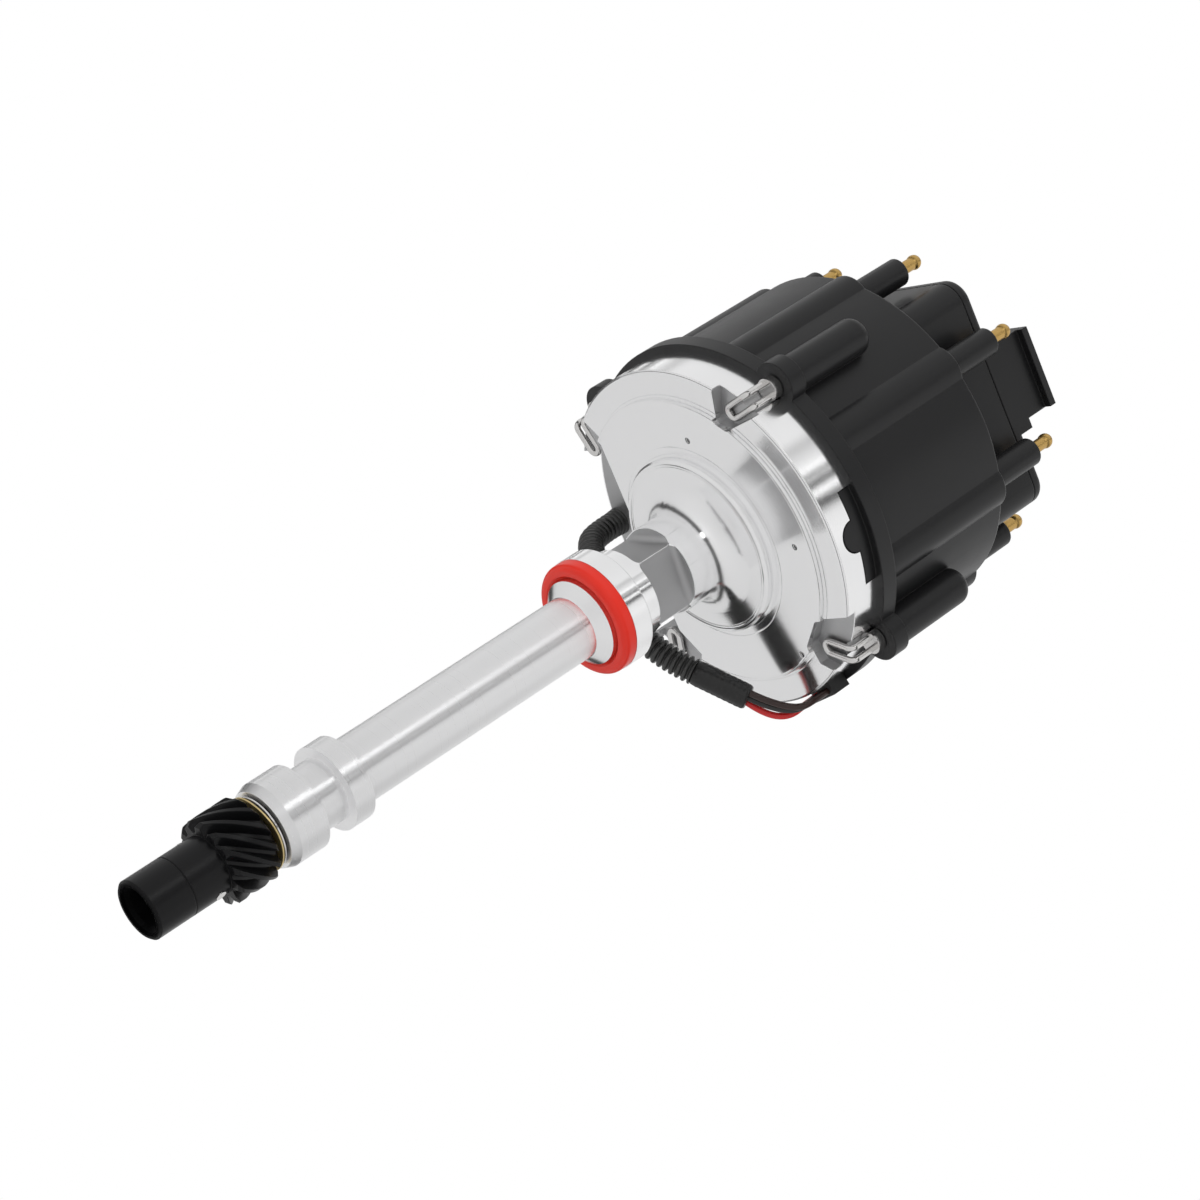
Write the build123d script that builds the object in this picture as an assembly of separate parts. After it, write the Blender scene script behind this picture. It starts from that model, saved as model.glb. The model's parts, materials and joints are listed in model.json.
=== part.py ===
"""Ignition distributor with the coil in its cap, for an eight-cylinder engine.

Millimetres. +Z runs along the shaft from the drive gear to the cap. The origin is the centre of
the hold-down flange's underside, where the engine's seat meets it. Azimuths are counted from +X
towards +Y, and the four latches stand at odd multiples of 45 degrees.
"""
from math import cos, degrees, radians, sin, tan
import os

from build123d import *

os.makedirs("parts", exist_ok=True)

# Clearances
running = 0.05          # shaft or pin in its bore, on the radius
gap = 0.3               # between pieces that move past each other, and loose fits

# Shaft
shaft_r = 6.2
socket_depth = 14.5     # from the gear's tip to the shaft's end
shaft_top = 107.0

# Barrel of the housing
barrel_r = 12.35
collar_r = 16.2
groove_r = 12.2
barrel_bottom = -157.1
collar_1_t = 15.9
collar_space = 12.2
collar_2_t = 8.3
nose_r = 1.4            # chamfer at the lower end, across
nose_z = 3.5            # and along
cone_z = 3.9            # length of the cone under the seal
bushing_wall = 2.25
lower_bushing_length = 27.0
upper_bushing_length = 30.0
oilway = 0.45           # the bore between the bushings is this much narrower than they are outside

# Flange, seal and neck
flange_r = 22.55
flange_t = 8.4
seal_t = 5.5
seal_r = 22.3
seal_inner_r = 16.9
seal_round = 2.4
neck_r = 17.8
neck_flat_low = 16.85
neck_flat_high = 35.1
neck_flat_half = 12.4   # half the width across the milled flats
neck_flat_turn = 6.3    # azimuth of the first flat
flare_r = 9.4

# Boss, disc and bowl
boss_z = 54.4
boss_r = 34.9
boss_step = 0.8         # each step of the boss's side, outwards
groove_t = 0.6          # the fine groove round the boss
disc_z = 58.5
disc_inset = 10.9       # from the bowl's side in to the raised disc
annulus_z = 60.5
bowl_r = 69.2
bowl_edge = 0.9
rim_z = 76.8
bowl_wall = 4.8
bowl_floor_t = 6.5
tower_r = 14.0
tower_base_r = 20.0
tower_shoulder = 5.0    # height of the tower's base over the bowl's floor
tower_top = 84.0

# Recess in the bowl's back, where the loom passes
recess_out = 3.8        # from the pickup out to the recess's straight wall
recess_roof = 74.0
recess_half = 38.0
recess_skin = 3.0       # wall between the recess and the inside
recess_flare_x = 64.0   # plan of the rough ground beside it
recess_flare_y = 40.0
recess_bend_x = 46.5
recess_bend_in = 7.3
recess_far_x = 60.0
recess_far_y = 49.0
recess_near_x = 43.0
pad_z = 62.0            # rough-milled ground beside the recess

# Cap
lip_out = 3.1           # the lip and the latches stand this far outside the bowl
lip_top = 84.0
skirt_in = 1.5          # the skirt stands this far inside the bowl's side
cap_wall = 3.5
shoulder_z = 150.0
cap_top_t = 4.0
cap_edge = 1.2
terminal_count = 8
terminal_in = 7.7       # from the skirt in to the terminals' circle
terminal_turn = 22.5
rib_r = 10.3
post_r = 5.6
post_h = 26.3
terminal_neck_r = 2.45
terminal_ball_r = 2.95
terminal_h = 8.8         # from the post's top to the ball's middle
electrode_r = 2.2
electrode_bottom = 113.5
electrode_boss_r = 4.4
electrode_boss_h = 26.0

# Cap key and the notch it fills
key_azimuth = -83.0
key_width = 37.0
key_drop = 5.7
key_round_r = 6.3
key_round_azimuth = -84.0

# Latches
latch_count = 4
latch_turn = 45.0
column_r = 7.3
column_foot_r = 9.0
column_top = 122.8
column_round = 4.5
latch_rod_r = 2.2
latch_ledge_z = 100.0
latch_chamber_r = 4.7
latch_head_r = 4.3
latch_head_t = 3.5
latch_head_z = 115.5
latch_slot = 1.4
yoke_r = 4.4
yoke_t = 3.6
hook_wire_r = 1.2
hook_half = 2.6         # half the spacing of the hook's two wires
hook_reach = 13.5       # from the column's axis to the middle of the hook's end
hook_turns = (-26.0, 28.6, 28.6, -26.0)  # how each latched hook stands, from straight inwards
hook_roof = 64.9        # roof of the pocket that the hook bears on
pocket_in = 13.7        # from the bowl's side in to the pocket's end
pocket_low_y = 6.5
pocket_high_y = 8.0
pocket_sweep_y = 20.0   # the fan's far side
pocket_flare_y = 12.5
pocket_round = 2.4
narrow_low_y = 9.5       # the same for the two narrower pockets
narrow_sweep_y = 16.5
narrow_high_y = 5.5
narrow_inner_y = 2.8
scallop_r = 5.0
hook_bend = 2.5

# Pickup, on the bowl's tower
base_plate_t = 1.5
pickup_coil_h = 7.0
magnet_h = 4.0
pole_t = 2.0
pickup_r = 32.5
air_gap = 0.4
core_r = 16.2
core_hub_r = 11.5
core_t = 4.0
core_sleeve_r = 9.0
tooth_w = 4.0

# Centrifugal advance
base_z = 98.2
base_t = 2.5
base_length = 78.0
base_width = 46.0
pin_x = 22.0
pin_r = 3.0
weight_t = 5.5
weight_inner_r = 13.2
weight_outer_r = 21.0
weight_eye_r = 6.0
weight_tail = 150.0     # azimuth where the first weight ends
cam_length = 24.0
cam_width = 15.0
rotor_post_x = 33.0
rotor_post_r = 4.2

# Rotor
rotor_z = 112.0
rotor_disc_r = 40.0
rotor_disc_t = 3.0
rotor_boss_r = 11.0
rotor_boss_t = 4.0
rotor_arm_w = 15.0
rotor_gap = 0.6         # from the blade's tip to the electrodes
blade_t = 1.2
blade_w = 8.0
blade_tip_t = 1.5
blade_tip_drop = 5.0
screw_r = 2.0

# Carbon button
button_r = 2.5
button_h = 10.0
button_boss_r = 6.0
button_boss_h = 24.0

# Ignition coil and its cover
coil_seal_r = 12.0
coil_seal_t = 2.0
coil_h = 26.0
core_frame_in_x = 13.8   # from the cover's side in to the coil's core
core_frame_in_y = 16.0
core_frame_w = 9.0
core_frame_t = 14.0
coil_pad_h = 8.0
coil_pad_r = 4.0
cover_gap_x = 3.0       # from the cover to the posts beside it, along X
cover_gap_y = 3.8       # and along Y
cover_wall = 2.5
cover_h = 35.5
cover_corner = 9.0
cover_edge = 3.0
cover_seam_drop = 5.5   # from the cover's top to the seam round its side
cover_seam = 0.5
cover_screw_in = 10.0
plateau_low_x = -17.5
plateau_high_x = 15.0
plateau_depth = 30.0
plateau_h = 18.0
plateau_lip = 3.0
plateau_lip_t = 3.0
step_w = 4.0             # small step beside the raised part
step_h = 5.0
step_depth = 9.0

# Drive gear
gear_teeth = 13
gear_r = 16.05
gear_root_r = 12.3
gear_drop = 4.6         # from the barrel's end to the teeth
gear_face = 18.6
gear_twist = 62.0
gear_hub_r = 11.3
gear_nose = 30.2        # from the teeth to the gear's tip
gear_tip_chamfer = 0.8
gear_line_up = 15.2     # from the tip to the line round the hub
gear_back_t = 1.3
socket_r = 8.0
socket_mouth = 1.4
gear_pin_r = 2.0
gear_pin_drop = 4.3     # from the teeth to the pin
gear_pin_azimuth = 142.0
shim_t = 1.2

# Harness
plug_x = -5.0
plug_half = 6.5
plug_in = 5.7           # from the bowl's side in to the plug
plug_t = 9.0
plug_h = 5.0
loom_r = 4.6
sleeve_r = 5.0
lead_r = 1.3
lead_pitch = 2.8
grommet_pitch = 3.3       # between the leads where they enter the grommet
grommet_azimuth = -15.5
grommet_half = 6.4
grommet_drop = 8.6
grommet_nose = 4.8      # how far the grommet stands out of the bowl
loom_knee_z = 60.0
sleeve_run = 18.0       # straight loom before the sleeve
lead_straight = 8.0
lead_rise = 6.0


def rod(radius, low, high, x=0.0, y=0.0):
    """Round bar along Z."""
    return Pos(x, y, low) * Cylinder(radius, high - low, align=(Align.CENTER, Align.CENTER, Align.MIN))


def ring(inner, outer, low, high):
    """Tube about the Z axis."""
    return rod(outer, low, high) - rod(inner, low - 1, high + 1)


def block(x0, x1, y0, y1, z0, z1):
    """Box between two corners."""
    return Pos(x0, y0, z0) * Box(x1 - x0, y1 - y0, z1 - z0, align=(Align.MIN, Align.MIN, Align.MIN))


def turned(points, rounds=()):
    """Solid turned about Z from (radius, height) points, with the named corners rounded."""
    profile = make_face(Polyline(*points, close=True))
    for corner, radius in rounds:
        vertex = profile.vertices().sort_by_distance(Vector(corner[0], corner[1], 0))[0]
        profile = fillet(vertex, radius)
    return revolve(Plane.XZ * profile, Axis.Z)


def prism(points, low, high):
    """Upright prism over a plan outline."""
    plan = make_face(Polyline(*points, close=True))
    return Pos(0, 0, low) * extrude(plan, high - low)


def turn(shape, azimuth):
    """Shape turned about the Z axis."""
    return Rot(0, 0, azimuth) * shape


def at(radius, azimuth):
    """Plan position at a radius and an azimuth."""
    return radius * cos(radians(azimuth)), radius * sin(radians(azimuth))


def around(count, start, shape):
    """Copies of a shape about the Z axis."""
    return [turn(shape, start + 360.0 / count * k) for k in range(count)]


def joined(shapes):
    """All shapes fused into one."""
    total = shapes[0]
    for shape in shapes[1:]:
        total = total + shape
    return total


def cut(shape, tools):
    """Shape with every tool taken away."""
    for tool in tools:
        shape = shape - tool
    return shape


def save(name, shape):
    """Write one node; a list becomes a group of separate solids."""
    if isinstance(shape, list):
        solids = [solid for piece in shape for solid in piece.solids()]
        shape = Compound(children=solids)
    export_step(shape, f"parts/{name}.step")


def screw(shank_r, length, head_r, head_t, x, y, seat):
    """Round-headed screw with a slot, its head on the seat and its shank below."""
    body = rod(shank_r, seat - length, seat, x, y) + rod(head_r, seat, seat + head_t, x, y)
    slot = block(x - head_r, x + head_r, y - 0.5, y + 0.5, seat + head_t / 2, seat + head_t + 1)
    return body - slot


def coil_spring(inner, outer, low, high, x=0.0, turns=7):
    """Closed coil spring, drawn as a tube with a ridge for each turn."""
    pitch = (high - low) / turns
    wave = [(inner, low), (outer - pitch / 3, low)]
    for k in range(turns):
        wave.append((outer, low + pitch * (k + 0.5)))
        wave.append((outer - pitch / 3, low + pitch * (k + 1)))
    wave.append((inner, high))
    return Pos(x, 0, 0) * turned(wave)


def cord(points, radius):
    """Round cord along straight runs joined by the largest tangent arcs that the runs allow."""
    corners = [Vector(*point) for point in points]
    radii = []
    for before, here, after in zip(corners, corners[1:], corners[2:]):
        bend = (here - before).get_angle(after - here)
        shorter = min((here - before).length, (after - here).length)
        radii.append(0.45 * shorter / tan(radians(bend / 2)))
    path = FilletPolyline(*corners, radius=radii)
    start = Plane(origin=corners[0], z_dir=corners[1] - corners[0])
    tube = sweep(start * Circle(radius), path=path)
    print("cord length", round(path.length, 1), "radii", [round(r, 1) for r in radii])
    return tube


# What follows from the sizes above
disc_r = bowl_r - disc_inset
recess_y = pickup_r + recess_out
beyond = bowl_r + 10.0
lip_r = bowl_r + lip_out
latch_circle_r = lip_r
skirt_r = bowl_r - skirt_in
terminal_circle_r = skirt_r - terminal_in
post_line = terminal_circle_r * cos(radians(terminal_turn))
pocket_inner_r = bowl_r - pocket_in
cover_x = post_line - post_r - cover_gap_x
cover_y = post_line - post_r - cover_gap_y
cover_screw_x = cover_x - 1.8 * cover_screw_in
cover_screw_y = cover_y - cover_screw_in
core_frame_x = cover_x - core_frame_in_x
core_frame_y = cover_y - core_frame_in_y
post_top = shoulder_z + post_h
terminal_ball_z = post_top + terminal_h
cover_top = shoulder_z + cover_h
plateau_top = cover_top + plateau_h
collar_1_top = barrel_bottom + collar_1_t
collar_2_bottom = collar_1_top + collar_space
collar_2_top = collar_2_bottom + collar_2_t
gear_high = barrel_bottom - gear_drop
gear_low = gear_high - gear_face
gear_tip = gear_low - gear_nose
gear_line_z = gear_tip + gear_line_up
gear_pin_z = gear_low - gear_pin_drop
shaft_bottom = gear_tip + socket_depth
plug_y0 = bowl_r - plug_in
plug_y1 = plug_y0 + plug_t
plug_z0 = recess_roof - plug_h
grommet_out = bowl_r + grommet_nose
bushing_r = shaft_r + running + bushing_wall
bore_r = bushing_r - oilway
floor_z = annulus_z + bowl_floor_t
cavity_r = bowl_r - bowl_wall
upper_bushing_low = tower_top - upper_bushing_length
lower_bushing_high = barrel_bottom + lower_bushing_length
cap_inner_r = skirt_r - cap_wall
pickup_z = floor_z + tower_shoulder
coil_z = pickup_z + base_plate_t
magnet_z = coil_z + pickup_coil_h
pole_z = magnet_z + magnet_h
advance_z = base_z + base_t
weight_z = advance_z + gap
blade_z = rotor_z + rotor_disc_t + rotor_boss_t
blade_reach = terminal_circle_r - electrode_r - rotor_gap
key_z = rim_z - key_drop
grommet_z = rim_z - grommet_drop


def hook_pocket(narrow):
    """Fan-shaped pocket under the bowl's edge that a hook sits in and swings out through."""
    reach = latch_circle_r + 4
    plan = [(pocket_inner_r, -pocket_low_y), (bowl_r - 0.7, -pocket_sweep_y), (reach, -pocket_sweep_y),
            (reach, pocket_high_y), (pocket_inner_r + pocket_low_y, pocket_flare_y),
            (pocket_inner_r, pocket_high_y)]
    if narrow:
        plan = [(pocket_inner_r + 0.7, -narrow_low_y), (bowl_r + 1, -narrow_sweep_y), (reach, -narrow_sweep_y),
                (reach, narrow_high_y + 1.5), (bowl_r + 1, narrow_high_y), (pocket_inner_r + 1.5, -narrow_inner_y)]
    pocket = prism(plan, disc_z - 5, hook_roof)
    edges = pocket.edges().filter_by(Axis.Z).sort_by(Axis.X)[:2]
    return fillet(edges, pocket_round)


def key_notch(clearance):
    """Notch in the bowl's rim, with a round deeper part, that the cap's key fills."""
    half = key_width / 2 - clearance
    low = key_z + clearance
    straight = turn(block(cavity_r - 1.5, bowl_r + 1, -half, half, low, rim_z + 1), key_azimuth)
    bar = Pos(cavity_r - 1.5, 0, low) * Rot(0, 90, 0) * Cylinder(
        key_round_r - clearance, bowl_wall + 2.5, align=(Align.CENTER, Align.CENTER, Align.MIN))
    return straight + turn(bar, key_round_azimuth)


def grommet_space(clearance):
    """Notch in the bowl's rim for the grommet."""
    half = grommet_half - clearance
    notch = block(cavity_r - 2, bowl_r + 1, -half, half, grommet_z + clearance, rim_z + 1)
    return turn(notch, grommet_azimuth)


def make_housing():
    """Barrel, flange, neck, boss and bowl, machined in one piece."""
    step = boss_r + boss_step
    outline = [
        (bushing_r, barrel_bottom), (collar_r - nose_r, barrel_bottom),
        (collar_r, barrel_bottom + nose_z), (collar_r, collar_1_top),
        (groove_r, collar_1_top), (groove_r, collar_2_bottom),
        (collar_r, collar_2_bottom), (collar_r, collar_2_top),
        (barrel_r, collar_2_top), (barrel_r, -seal_t - 1 - cone_z),
        (seal_inner_r, -seal_t - 1), (seal_inner_r, 0),
        (flange_r, 0), (flange_r, flange_t), (neck_r, flange_t),
        (neck_r, boss_z), (boss_r, boss_z),
        (step, boss_z + boss_step), (step, disc_z - 3 * groove_t),
        (step - groove_t, disc_z - 2.5 * groove_t), (step - groove_t, disc_z - 2 * groove_t),
        (step + boss_step, disc_z - 1.5 * groove_t), (step + boss_step, disc_z),
        (disc_r, disc_z), (disc_r, annulus_z),
        (bowl_r - bowl_edge, annulus_z), (bowl_r, annulus_z + bowl_edge),
        (bowl_r, rim_z), (bushing_r, rim_z), (bushing_r, upper_bushing_low),
        (bore_r, upper_bushing_low), (bore_r, lower_bushing_high), (bushing_r, lower_bushing_high),
    ]
    body = turned(outline, [((neck_r, boss_z), flare_r), ((neck_r, flange_t), 1.0),
                            ((flange_r, flange_t), 0.6)])
    cavity = ring(bushing_r - 1, cavity_r, floor_z, rim_z + 1)
    cavity = cavity - rod(tower_base_r, floor_z - 1, floor_z + tower_shoulder)
    cavity = cavity - rod(tower_r, floor_z - 1, rim_z + 2)
    cavity = cavity - block(-bowl_r, bowl_r, recess_y - recess_skin, bowl_r, floor_z - 1, rim_z + 2)
    body = body - cavity
    body = body + ring(bushing_r, tower_r, rim_z - 1, tower_top)
    flats = [block(neck_flat_half, neck_r + 5, -neck_r, neck_r, neck_flat_low, neck_flat_high)]
    flats = [fillet(flats[0].edges().filter_by(Axis.Y).sort_by(Axis.X)[:2], 2.5)]
    body = cut(body, around(4, neck_flat_turn, flats[0]))
    wide = [(-recess_near_x, recess_y), (recess_half - 2, recess_y), (recess_bend_x, recess_y - recess_bend_in),
            (recess_flare_x, recess_flare_y), (recess_flare_x, beyond), (-recess_far_x, beyond),
            (-recess_far_x, recess_far_y)]
    deep = [(-recess_half, recess_y), (recess_half - 2, recess_y), (recess_half + 2, beyond),
            (-recess_half - 2, beyond)]
    body = body - prism(wide, boss_z, pad_z)
    body = body - prism(deep, boss_z, recess_roof)
    for number, hook_turn in enumerate(hook_turns):
        body = body - turn(hook_pocket(hook_turn > 0), latch_turn + 360.0 / latch_count * number)
    scallop = rod(scallop_r, annulus_z - 5, rim_z + 1, latch_circle_r)
    body = cut(body, around(latch_count, latch_turn, scallop))
    body = body - key_notch(0) - grommet_space(0)
    for inset, azimuth in ((25.8, -159.8), (19.3, -84.9), (13.2, -31.6)):
        x, y = at(bowl_r - inset, azimuth)
        body = body - rod(1.25, disc_z - 1, disc_z + 5, x, y)
    return body


def make_seal():
    """Ring under the flange, rounded outside and bevelled inside."""
    outline = [(seal_inner_r + 1.4, -seal_t), (seal_r, -seal_t), (seal_r, 0), (seal_inner_r, 0),
               (seal_inner_r, -seal_t + 1.6)]
    return turned(outline, [((seal_r, -seal_t), seal_round)])


def gear_section():
    """Outline of the gear's teeth, as a flat face."""
    pitch = 360.0 / gear_teeth
    points = []
    for k in range(gear_teeth):
        middle = k * pitch
        for radius, share in ((gear_root_r, -0.36), (gear_r, -0.13), (gear_r, 0.13), (gear_root_r, 0.36)):
            points.append(at(radius, middle + share * pitch))
    return make_face(Polyline(*points, close=True))


def make_gear():
    """Helical drive gear with its hub, socket and mouth."""
    teeth = Pos(0, 0, gear_low) * Solid.extrude_linear_with_rotation(
        gear_section().face(), (0, 0, 0), (0, 0, gear_high - gear_low), gear_twist)
    bevel = 1.5
    blank = turned([(0, gear_low), (gear_r - bevel, gear_low), (gear_r + 0.1, gear_low + bevel),
                    (gear_r + 0.1, gear_high - bevel), (gear_r - bevel, gear_high), (0, gear_high)])
    hub = turned([(0, gear_tip), (gear_hub_r - gear_tip_chamfer, gear_tip),
                  (gear_hub_r, gear_tip + gear_tip_chamfer), (gear_hub_r, gear_line_z),
                  (gear_hub_r - 0.3, gear_line_z + 0.3), (gear_hub_r, gear_line_z + 0.6),
                  (gear_hub_r, gear_high + gear_back_t), (0, gear_high + gear_back_t)])
    body = (teeth & blank) + hub
    body = body - rod(shaft_r, shaft_bottom, gear_high + 5)
    body = body - rod(socket_r, gear_tip - 1, shaft_bottom)
    mouth = turned([(0, gear_tip - 0.1), (socket_r + socket_mouth, gear_tip - 0.1),
                    (socket_r, gear_tip + 2 * socket_mouth), (0, gear_tip + 2 * socket_mouth)])
    return body - mouth - pin_bar(gear_hub_r + 5)


def pin_bar(half):
    """Bar across the shaft where the gear is pinned."""
    bar = Pos(0, 0, gear_pin_z) * Rot(0, 90, 0) * Cylinder(gear_pin_r, 2 * half)
    return turn(bar, gear_pin_azimuth)


def make_shaft():
    """Main shaft with the pump-drive slot in its lower end and the pin's cross hole."""
    body = rod(shaft_r, shaft_bottom, shaft_top)
    slot = block(-shaft_r - 1, shaft_r + 1, -2.4, 2.4, shaft_bottom - 1, shaft_bottom + 6)
    return body - slot - pin_bar(shaft_r + 2)


def upright(plan, low, high):
    """Plan sketch raised between two heights."""
    return Pos(0, 0, low) * extrude(plan, high - low)


def spots(count, start, radius, size):
    """Circles spaced round the axis, as one sketch."""
    centres = [at(radius, start + 360.0 / count * k) for k in range(count)]
    return joined([Pos(x, y) * Circle(size) for x, y in centres])


def make_cap():
    """Moulded cap: lip, skirt, ribs, posts, latch columns, key and the coil's pads."""
    ribs = spots(terminal_count, terminal_turn, terminal_circle_r, rib_r)
    feet = spots(latch_count, latch_turn, latch_circle_r, column_foot_r)
    skirt = upright(Circle(skirt_r) + ribs, lip_top - 1, shoulder_z)
    skirt = fillet(skirt.faces().sort_by(Axis.Z)[-1].edges(), cap_edge)
    body = skirt + upright(Circle(lip_r) + feet, rim_z, lip_top)
    column = turned([(0, rim_z + 1), (column_r, rim_z + 1), (column_r, column_top), (0, column_top)],
                    [((column_r, column_top), column_round)])
    post = turned([(0, shoulder_z - 2), (post_r, shoulder_z - 2), (post_r, post_top), (0, post_top)],
                  [((post_r, post_top), 0.8)])
    body = joined([body] + around(latch_count, latch_turn, Pos(latch_circle_r, 0, 0) * column))
    body = joined([body] + around(terminal_count, terminal_turn, Pos(terminal_circle_r, 0, 0) * post))
    body = body - rod(cap_inner_r, rim_z - 1, shoulder_z - cap_top_t)
    bosses = spots(terminal_count, terminal_turn, terminal_circle_r, electrode_boss_r)
    bosses = upright(bosses, shoulder_z - electrode_boss_h, shoulder_z - 1) & rod(cap_inner_r + 1, 0, shoulder_z)
    body = body + bosses + rod(button_boss_r, shoulder_z - button_boss_h, shoulder_z - 1)
    for x in (-1, 1):
        for y in (-1, 1):
            px, py = x * (core_frame_x - core_frame_w / 2), y * (core_frame_y - core_frame_w / 2)
            body = body + rod(coil_pad_r, shoulder_z - 1, shoulder_z + coil_pad_h, px, py)
            body = body - rod(screw_r, shoulder_z - 1, shoulder_z + coil_pad_h + 1, px, py)
        sx = x * cover_screw_x
        body = body + rod(3.6, shoulder_z - 1, cover_top - cover_wall, sx, cover_screw_y)
        body = body - rod(screw_r, cover_top - cover_wall - 8, cover_top, sx, cover_screw_y)
    key = key_notch(gap) & ring(cap_inner_r, bowl_r, key_z - 20, rim_z + 0.5)
    body = body + key
    electrode = rod(electrode_r, electrode_bottom - 1, post_top + 1, terminal_circle_r)
    body = cut(body, around(terminal_count, terminal_turn, electrode))
    body = body - rod(button_r + running, shoulder_z - button_boss_h - 1, shoulder_z - cap_top_t)
    bore = turned([(0, rim_z - 1), (latch_rod_r + running, rim_z - 1),
                   (latch_rod_r + running, latch_ledge_z), (latch_chamber_r, latch_ledge_z),
                   (latch_chamber_r, column_top + 1), (0, column_top + 1)])
    return cut(body, around(latch_count, latch_turn, Pos(latch_circle_r, 0, 0) * bore))


def make_terminals():
    """Eight terminals: electrode inside, neck and ball outside."""
    outline = [(0, electrode_bottom), (electrode_r, electrode_bottom), (electrode_r, post_top),
               (terminal_neck_r, post_top), (terminal_neck_r, terminal_ball_z), (0, terminal_ball_z)]
    stud = turned(outline) + Pos(0, 0, terminal_ball_z) * Sphere(terminal_ball_r)
    return around(terminal_count, terminal_turn, Pos(terminal_circle_r, 0, 0) * stud)


def make_latch(hook_turn):
    """Latch at azimuth 0: slotted head, rod, yoke and the two-wire hook."""
    middle = hook_roof - gap - hook_wire_r
    yoke_top = rim_z - gap
    body = rod(latch_rod_r, yoke_top - 1, latch_head_z + 1)
    body = body + rod(yoke_r, yoke_top - yoke_t, yoke_top)
    head = rod(latch_head_r, latch_head_z, latch_head_z + latch_head_t)
    slot = block(-latch_head_r - 1, latch_head_r + 1, -latch_slot / 2, latch_slot / 2,
                 latch_head_z + 1.5, latch_head_z + latch_head_t + 1)
    body = body + (head - slot)
    start = yoke_top - 1
    route = [(0, hook_half, start), (0, hook_half, middle), (-hook_reach, hook_half, middle),
             (-hook_reach, -hook_half, middle), (0, -hook_half, middle), (0, -hook_half, start)]
    path = FilletPolyline(*route, radius=hook_bend)
    wire = sweep(Plane(origin=route[0], z_dir=(0, 0, -1)) * Circle(hook_wire_r), path=path)
    return Pos(latch_circle_r, 0, 0) * Rot(0, 0, hook_turn) * (body + wire)


def make_pole_piece():
    """Steel ring with eight teeth pointing in at the timer core."""
    plate = ring(core_r + 6, pickup_r, pole_z, pole_z + pole_t)
    tooth = block(core_r + air_gap, core_r + 7, -tooth_w / 2, tooth_w / 2, pole_z, pole_z + pole_t)
    return joined([plate] + around(terminal_count, 0, tooth))


def make_timer_core():
    """Sleeve on the shaft with eight teeth that pass the pole piece."""
    low = tower_top + gap
    body = rod(core_sleeve_r, low, base_z) + rod(core_hub_r, pole_z, pole_z + core_t)
    tooth = block(core_hub_r - 2, core_r, -tooth_w / 2, tooth_w / 2, pole_z, pole_z + core_t)
    body = joined([body] + around(terminal_count, 0, tooth & rod(core_r, pole_z, pole_z + core_t)))
    return body - rod(shaft_r + running, low - 1, base_z + 1)


def make_weight():
    """Advance weight on the pin at +X: an eye and an arm that curves round the cam."""
    arm = ring(weight_inner_r, weight_outer_r, weight_z, weight_z + weight_t)
    span = 60
    far = [at(span, 2 + (weight_tail - 2) * k / 4) for k in range(5)]
    arm = arm & prism([(0, 0)] + far, weight_z - 1, weight_z + weight_t + 1)
    eye = rod(weight_eye_r, weight_z, weight_z + weight_t, pin_x)
    body = arm + (eye - rod(weight_inner_r, weight_z - 1, weight_z + weight_t + 1))
    return body - rod(pin_r + running, weight_z - 1, weight_z + weight_t + 1, pin_x)


def make_weight_base():
    """Plate on the timer core's sleeve with two posts for the rotor."""
    plate = Pos(0, 0, base_z) * extrude(SlotOverall(base_length, base_width), base_t)
    body = plate - rod(shaft_r + running, base_z - 1, advance_z + 1)
    for side in (-1, 1):
        body = body + rod(rotor_post_r, base_z, rotor_z, side * rotor_post_x)
        body = body - rod(screw_r, rotor_z - 8, rotor_z + 1, side * rotor_post_x)
    return body


def make_rotor():
    """Moulded rotor: disc over the weights, centre boss and the arm that carries the blade."""
    body = rod(rotor_disc_r, rotor_z, rotor_z + rotor_disc_t)
    body = body + rod(rotor_boss_r, rotor_z, blade_z)
    arm_end = blade_reach - blade_tip_t
    body = body + block(0, arm_end, -rotor_arm_w / 2, rotor_arm_w / 2, rotor_z, blade_z)
    body = body - block(rotor_post_x - 5, rotor_post_x + 5, -rotor_arm_w, rotor_arm_w,
                        rotor_z + rotor_disc_t, blade_z - 1.5)
    for side in (-1, 1):
        body = body - rod(screw_r, rotor_z - 1, rotor_z + rotor_disc_t + 1, side * rotor_post_x)
    return body


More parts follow.
